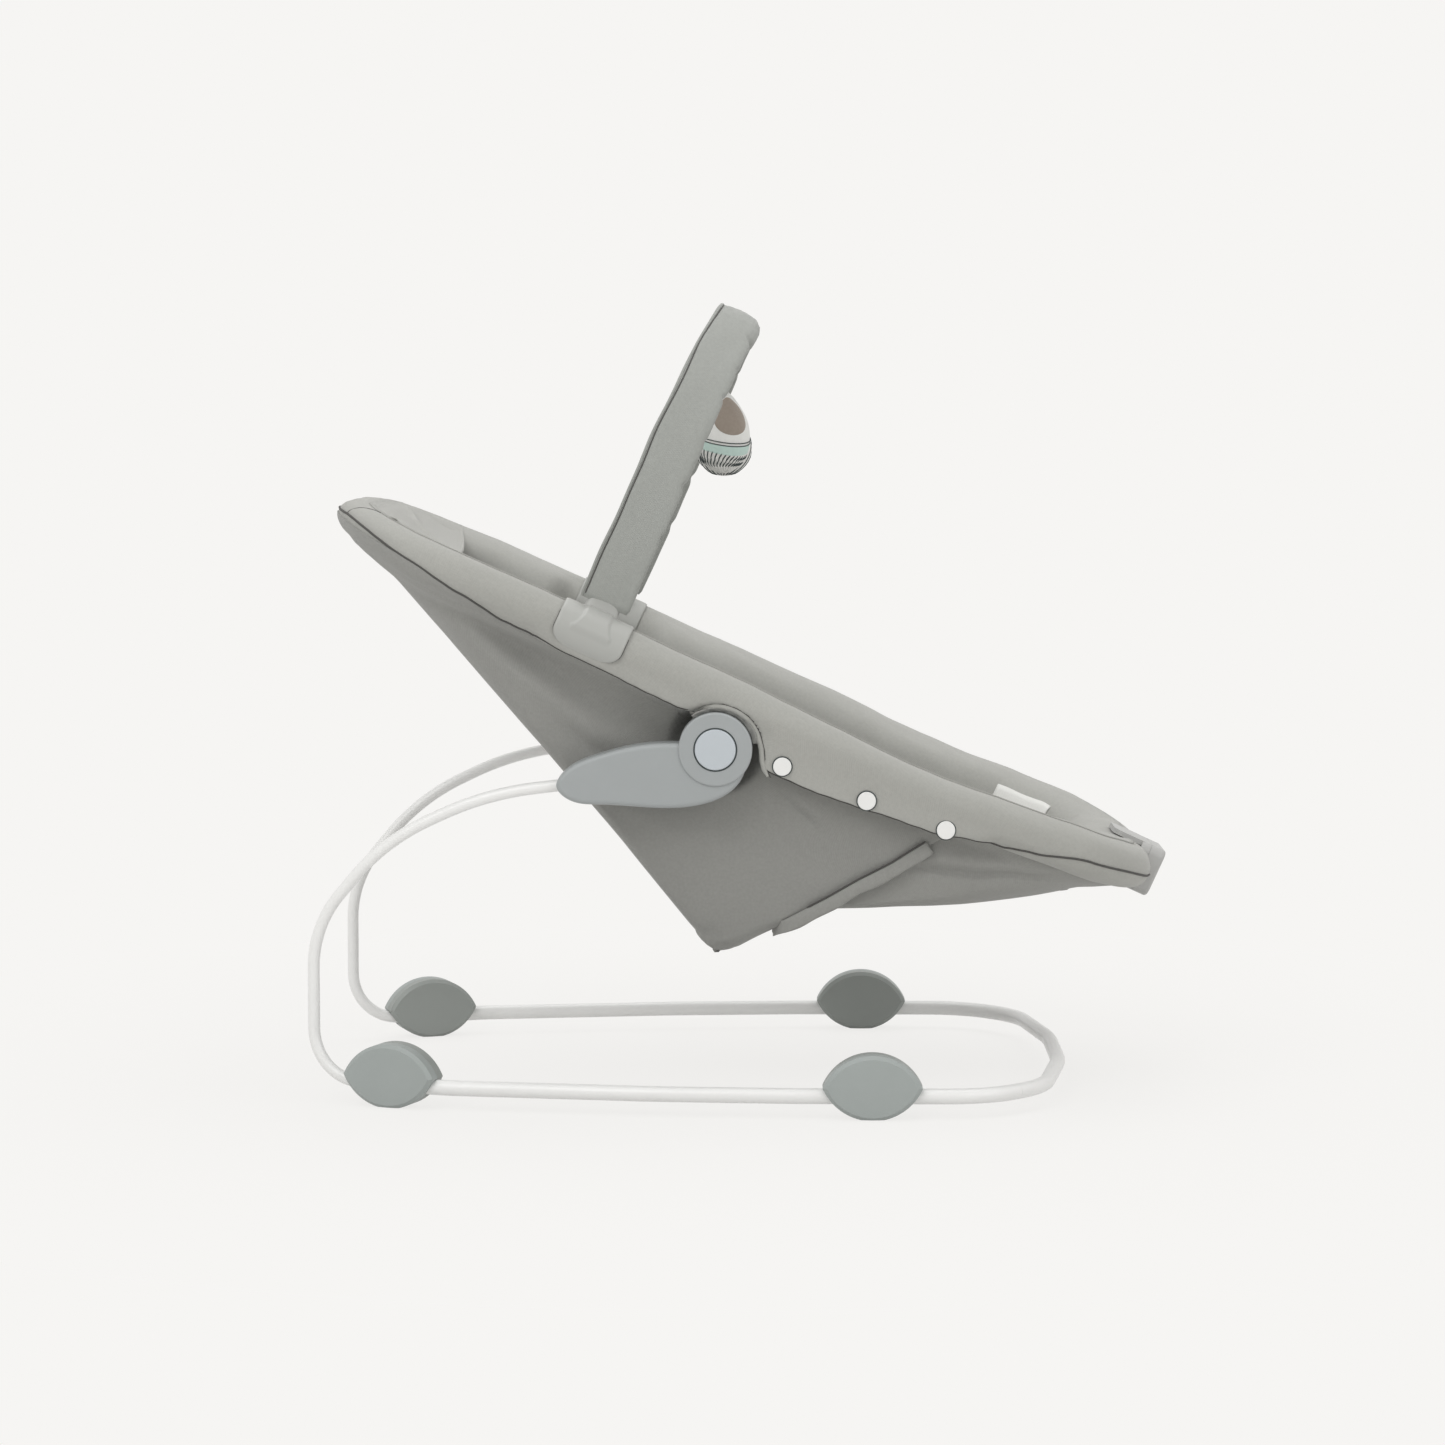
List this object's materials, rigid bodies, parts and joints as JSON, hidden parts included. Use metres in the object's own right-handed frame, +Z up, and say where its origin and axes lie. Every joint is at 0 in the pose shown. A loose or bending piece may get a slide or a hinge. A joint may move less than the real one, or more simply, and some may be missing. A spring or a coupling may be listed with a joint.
{
  "type": "baby bouncer seat",
  "caption": "Baby bouncer: bent-tube base with leaf feet, hub-locked arms, padded reclining seat, clip-on toy arch and clip-on vibration unit.",
  "frame": {"origin": "on the floor, under the middle of the part's bounding box; the plane Y = 0 is the mirror plane of the frame", "axes": "+X toward the foot end, +Y toward the child's left, +Z up"},
  "size_m": [0.7304, 0.506, 0.6643],
  "materials": {
    "white_enamel": "satin white enamel",
    "foot_outer_plastic": "satin moulded",
    "foot_inner_plastic": "satin moulded",
    "arm_plastic": "satin moulded",
    "steel": "bright",
    "button_plastic": "satin moulded",
    "lock_plastic": "moulded nylon",
    "loop_enamel": "white enamel",
    "rim_fabric": "plain weave, padded",
    "bag_fabric": "plain weave",
    "liner_fabric": "quilted plain weave",
    "board_plastic": "sheet",
    "snap_plastic": "polished",
    "webbing": "woven webbing",
    "buckle_plastic": "satin moulded",
    "core_plastic": "moulded",
    "sleeve_fabric": "plain weave",
    "saddle_plastic": "satin moulded",
    "toy_plush": "cotton, stuffed",
    "ribbon": "twill tape",
    "unit_plastic": "satin moulded",
    "key_plastic": "satin moulded",
    "cell": "sleeved cell",
    "brass": "turned"
  },
  "bodies": {
    "base": {"leg_rod_right": "white_enamel", "leg_rod_left": "white_enamel", "floor_tube_right": "white_enamel", "floor_tube_left": "white_enamel", "rear_foot_inner_right": "foot_inner_plastic", "rear_foot_inner_left": "foot_inner_plastic", "rear_foot_outer_right": "foot_outer_plastic", "rear_foot_outer_left": "foot_outer_plastic", "front_foot_inner_right": "foot_inner_plastic", "front_foot_inner_left": "foot_inner_plastic", "front_foot_outer_right": "foot_outer_plastic", "front_foot_outer_left": "foot_outer_plastic", "arm_outer_shell_right": "arm_plastic", "arm_outer_shell_left": "arm_plastic", "arm_inner_shell_right": "arm_plastic", "arm_inner_shell_left": "arm_plastic", "front_tube": "white_enamel", "tube_joiners": "steel", "arm_screws": "steel", "pivot_bolts": "steel", "pivot_nuts": "steel"},
    "seat": {"head_frame_tube": "loop_enamel", "foot_frame_tube": "loop_enamel", "hub_lug_right": "lock_plastic", "hub_lug_left": "lock_plastic", "lock_spring_right": "steel", "lock_spring_left": "steel", "rim_pad": "rim_fabric", "back_bag": "bag_fabric", "foot_cover": "bag_fabric", "back_board": "board_plastic", "liner_back": "liner_fabric", "liner_leg": "liner_fabric", "side_flaps": "rim_fabric", "snap_caps": "snap_plastic", "waist_straps": "webbing", "waist_tongues": "buckle_plastic", "crotch_strap": "webbing", "buckle_body": "buckle_plastic", "unit_clip": "unit_plastic", "unit_housing": "unit_plastic", "unit_battery": "cell", "unit_motor": "cell"},
    "hub_button_right": {"hub_button_right": "button_plastic"},
    "hub_button_left": {"hub_button_left": "button_plastic"},
    "lock_gear_right": {"lock_gear_right": "lock_plastic"},
    "lock_gear_left": {"lock_gear_left": "lock_plastic"},
    "buckle_button": {"buckle_button": "buckle_plastic"},
    "toy_arch": {"arch_core": "core_plastic", "arch_sleeve": "sleeve_fabric", "arch_saddle_right": "saddle_plastic", "arch_saddle_left": "saddle_plastic"},
    "toy_egg": {"toy_egg": "toy_plush", "ribbon_egg": "ribbon"},
    "toy_ball": {"toy_ball": "toy_plush", "ribbon_ball": "ribbon"},
    "unit_key": {"unit_key": "key_plastic"},
    "unit_door": {"unit_door": "unit_plastic"},
    "unit_weight": {"unit_weight": "brass"}
  },
  "joints": [
    {"name": "recline", "type": "hinge", "parent": "base", "child": "seat", "pos_m": [-0.02267, 0, 0.3], "axis": [0, 1, 0], "range_deg": [-24.4, 0]},
    {"name": "press_right", "type": "slide", "parent": "base", "child": "hub_button_right", "axis": [0, 1, 0], "range_m": [0, 0.004], "stiffness_N_per_m": 900, "springref_m": -0.004},
    {"name": "gear_right", "type": "slide", "parent": "seat", "child": "lock_gear_right", "axis": [0, 1, 0], "range_m": [0, 0.004], "deforming": ["lock_spring_right"]},
    {"name": "press_left", "type": "slide", "parent": "base", "child": "hub_button_left", "axis": [0, -1, 0], "range_m": [0, 0.004], "stiffness_N_per_m": 900, "springref_m": -0.004},
    {"name": "gear_left", "type": "slide", "parent": "seat", "child": "lock_gear_left", "axis": [0, -1, 0], "range_m": [0, 0.004], "deforming": ["lock_spring_left"]},
    {"name": "buckle_press", "type": "slide", "parent": "seat", "child": "buckle_button", "axis": [-0.7637, 0, -0.6456], "range_m": [0, 0.0025], "stiffness_N_per_m": 700, "springref_m": -0.002},
    {"name": "arch_off", "type": "slide", "parent": "seat", "child": "toy_arch", "axis": [0.4131, 0, 0.9107], "range_m": [0, 0.04]},
    {"name": "egg_swing", "type": "hinge", "parent": "toy_arch", "child": "toy_egg", "pos_m": [-0.01867, -0.034, 0.6447], "axis": [0, 1, 0], "range_deg": [-25, 25]},
    {"name": "ball_swing", "type": "hinge", "parent": "toy_arch", "child": "toy_ball", "pos_m": [-0.01867, 0.034, 0.6447], "axis": [0, 1, 0], "range_deg": [-25, 25]},
    {"name": "key_press", "type": "slide", "parent": "seat", "child": "unit_key", "axis": [-0.9107, 0, 0.4131], "range_m": [0, 0.0012], "stiffness_N_per_m": 700, "springref_m": -0.002},
    {"name": "door_off", "type": "slide", "parent": "seat", "child": "unit_door", "axis": [-0.4131, 0, -0.9107], "range_m": [0, 0.015]},
    {"name": "weight_spin", "type": "hinge", "parent": "seat", "child": "unit_weight", "pos_m": [0.34953, 0, 0.19507], "axis": [0, 1, 0], "continuous": true}
  ],
  "couplings": [
    {"joint": "gear_right", "follows": "press_right", "ratio": 1},
    {"joint": "gear_left", "follows": "press_left", "ratio": 1}
  ]
}
